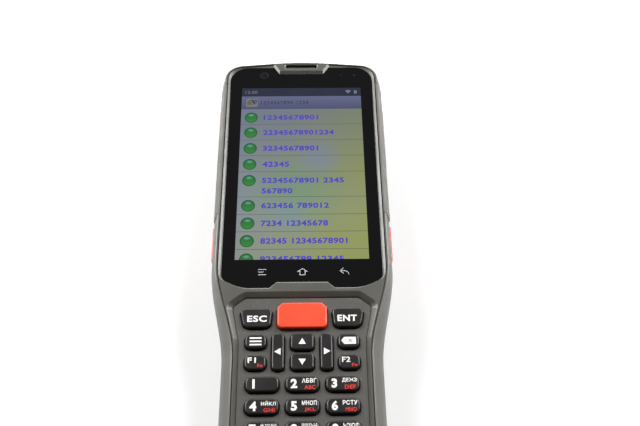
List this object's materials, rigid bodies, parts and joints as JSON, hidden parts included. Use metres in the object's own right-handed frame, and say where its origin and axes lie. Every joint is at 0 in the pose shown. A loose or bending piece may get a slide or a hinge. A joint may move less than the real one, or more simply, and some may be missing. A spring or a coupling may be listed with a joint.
{
  "type": "portable barcode data terminal",
  "caption": "Handheld barcode terminal with a touch screen head, a narrower keypad grip, orange scan keys, scan window, battery door and side keys.",
  "frame": {"origin": "middle of the rest plane under the terminal, which lies on its back", "axes": "+X across the screen to the right, +Y along the body towards the scan end, +Z out of the screen"},
  "size_m": [0.0728, 0.1953, 0.0269],
  "materials": {
    "shell": "fine-grained moulded plastic",
    "rail": "fine-grained moulded plastic",
    "panel": "fine speckled matte",
    "key": "glossy coated",
    "accent": "satin",
    "bezel": "satin",
    "glass": "polished",
    "window": "polished",
    "display": "smooth",
    "board": "solder mask",
    "steel": "plain",
    "alloy": "cast",
    "contact": "plated",
    "rubber": "matte",
    "module": "matte",
    "cell": "matte wrap",
    "lens": "polished"
  },
  "bodies": {
    "terminal": {"front_housing": "shell", "rear_housing": "shell", "left_rail": "rail", "right_rail": "rail", "scan_bezel": "bezel", "scan_window": "window", "scan_engine": "module", "cover_glass": "glass", "display_panel": "display", "mid_frame": "alloy", "main_board": "board", "shield_cans": "steel", "side_switches": "module", "earpiece": "module", "earpiece_mesh": "module", "front_camera": "module", "keypad_panel": "panel", "key_seal": "rubber", "keypad_board": "board", "housing_seal": "rubber", "housing_screws": "steel", "battery": "cell", "battery_door": "shell", "rear_camera": "module", "rear_lenses": "lens", "loudspeaker": "module", "vibration_motor": "steel", "usb_socket": "steel", "io_board": "board", "charge_contacts": "contact"},
    "left_scan_key": {"left_scan_key": "accent"},
    "right_scan_key": {"right_scan_key": "accent"},
    "power_key": {"power_key": "key"},
    "volume_key": {"volume_key": "key"},
    "scan_key": {"scan_key": "accent"},
    "door_latch": {"door_latch": "module"},
    "port_flap": {"port_flap": "rubber"},
    "esc_key": {"esc_key": "key"},
    "ent_key": {"ent_key": "key"},
    "up_key": {"up_key": "key"},
    "down_key": {"down_key": "key"},
    "left_key": {"left_key": "key"},
    "right_key": {"right_key": "key"},
    "menu_key": {"menu_key": "key"},
    "backspace_key": {"backspace_key": "key"},
    "f1_key": {"f1_key": "key"},
    "f2_key": {"f2_key": "key"},
    "key_1": {"key_1": "key"},
    "key_2": {"key_2": "key"},
    "key_3": {"key_3": "key"},
    "key_4": {"key_4": "key"},
    "key_5": {"key_5": "key"},
    "key_6": {"key_6": "key"},
    "key_7": {"key_7": "key"},
    "key_8": {"key_8": "key"},
    "key_9": {"key_9": "key"},
    "key_star": {"key_star": "key"},
    "key_0": {"key_0": "key"},
    "key_hash": {"key_hash": "key"}
  },
  "joints": [
    {"name": "scan_key_press", "type": "slide", "parent": "terminal", "child": "scan_key", "axis": [0, 0, -1], "range_m": [0, 0.0005], "stiffness_N_per_m": 1500},
    {"name": "esc_key_press", "type": "slide", "parent": "terminal", "child": "esc_key", "axis": [0, 0, -1], "range_m": [0, 0.0005], "stiffness_N_per_m": 1500},
    {"name": "ent_key_press", "type": "slide", "parent": "terminal", "child": "ent_key", "axis": [0, 0, -1], "range_m": [0, 0.0005], "stiffness_N_per_m": 1500},
    {"name": "up_key_press", "type": "slide", "parent": "terminal", "child": "up_key", "axis": [0, 0, -1], "range_m": [0, 0.0005], "stiffness_N_per_m": 1500},
    {"name": "down_key_press", "type": "slide", "parent": "terminal", "child": "down_key", "axis": [0, 0, -1], "range_m": [0, 0.0005], "stiffness_N_per_m": 1500},
    {"name": "left_key_press", "type": "slide", "parent": "terminal", "child": "left_key", "axis": [0, 0, -1], "range_m": [0, 0.0005], "stiffness_N_per_m": 1500},
    {"name": "right_key_press", "type": "slide", "parent": "terminal", "child": "right_key", "axis": [0, 0, -1], "range_m": [0, 0.0005], "stiffness_N_per_m": 1500},
    {"name": "menu_key_press", "type": "slide", "parent": "terminal", "child": "menu_key", "axis": [0, 0, -1], "range_m": [0, 0.0005], "stiffness_N_per_m": 1500},
    {"name": "backspace_key_press", "type": "slide", "parent": "terminal", "child": "backspace_key", "axis": [0, 0, -1], "range_m": [0, 0.0005], "stiffness_N_per_m": 1500},
    {"name": "f1_key_press", "type": "slide", "parent": "terminal", "child": "f1_key", "axis": [0, 0, -1], "range_m": [0, 0.0005], "stiffness_N_per_m": 1500},
    {"name": "f2_key_press", "type": "slide", "parent": "terminal", "child": "f2_key", "axis": [0, 0, -1], "range_m": [0, 0.0005], "stiffness_N_per_m": 1500},
    {"name": "key_1_press", "type": "slide", "parent": "terminal", "child": "key_1", "axis": [0, 0, -1], "range_m": [0, 0.0005], "stiffness_N_per_m": 1500},
    {"name": "key_2_press", "type": "slide", "parent": "terminal", "child": "key_2", "axis": [0, 0, -1], "range_m": [0, 0.0005], "stiffness_N_per_m": 1500},
    {"name": "key_3_press", "type": "slide", "parent": "terminal", "child": "key_3", "axis": [0, 0, -1], "range_m": [0, 0.0005], "stiffness_N_per_m": 1500},
    {"name": "key_4_press", "type": "slide", "parent": "terminal", "child": "key_4", "axis": [0, 0, -1], "range_m": [0, 0.0005], "stiffness_N_per_m": 1500},
    {"name": "key_5_press", "type": "slide", "parent": "terminal", "child": "key_5", "axis": [0, 0, -1], "range_m": [0, 0.0005], "stiffness_N_per_m": 1500},
    {"name": "key_6_press", "type": "slide", "parent": "terminal", "child": "key_6", "axis": [0, 0, -1], "range_m": [0, 0.0005], "stiffness_N_per_m": 1500},
    {"name": "key_7_press", "type": "slide", "parent": "terminal", "child": "key_7", "axis": [0, 0, -1], "range_m": [0, 0.0005], "stiffness_N_per_m": 1500},
    {"name": "key_8_press", "type": "slide", "parent": "terminal", "child": "key_8", "axis": [0, 0, -1], "range_m": [0, 0.0005], "stiffness_N_per_m": 1500},
    {"name": "key_9_press", "type": "slide", "parent": "terminal", "child": "key_9", "axis": [0, 0, -1], "range_m": [0, 0.0005], "stiffness_N_per_m": 1500},
    {"name": "key_star_press", "type": "slide", "parent": "terminal", "child": "key_star", "axis": [0, 0, -1], "range_m": [0, 0.0005], "stiffness_N_per_m": 1500},
    {"name": "key_0_press", "type": "slide", "parent": "terminal", "child": "key_0", "axis": [0, 0, -1], "range_m": [0, 0.0005], "stiffness_N_per_m": 1500},
    {"name": "key_hash_press", "type": "slide", "parent": "terminal", "child": "key_hash", "axis": [0, 0, -1], "range_m": [0, 0.0005], "stiffness_N_per_m": 1500},
    {"name": "left_scan_key_press", "type": "slide", "parent": "terminal", "child": "left_scan_key", "axis": [1, 0, 0], "range_m": [0, 0.0004], "stiffness_N_per_m": 2000},
    {"name": "right_scan_key_press", "type": "slide", "parent": "terminal", "child": "right_scan_key", "axis": [-1, 0, 0], "range_m": [0, 0.0004], "stiffness_N_per_m": 2000},
    {"name": "power_key_press", "type": "slide", "parent": "terminal", "child": "power_key", "axis": [-1, 0, 0], "range_m": [0, 0.0004], "stiffness_N_per_m": 2000},
    {"name": "volume_key_rock", "type": "hinge", "parent": "terminal", "child": "volume_key", "pos_m": [0.0328, 0.0539, 0.0153], "axis": [0, 0, 1], "range_deg": [-1.2, 1.2], "stiffness_Nm_per_rad": 0.5},
    {"name": "door_latch_slide", "type": "slide", "parent": "terminal", "child": "door_latch", "axis": [0, -1, 0], "range_m": [0, 0.002], "stiffness_N_per_m": 300},
    {"name": "port_flap_open", "type": "hinge", "parent": "terminal", "child": "port_flap", "pos_m": [0, -0.0973, 0.0059], "axis": [1, 0, 0], "range_deg": [0, 110], "stiffness_Nm_per_rad": 0.003}
  ]
}
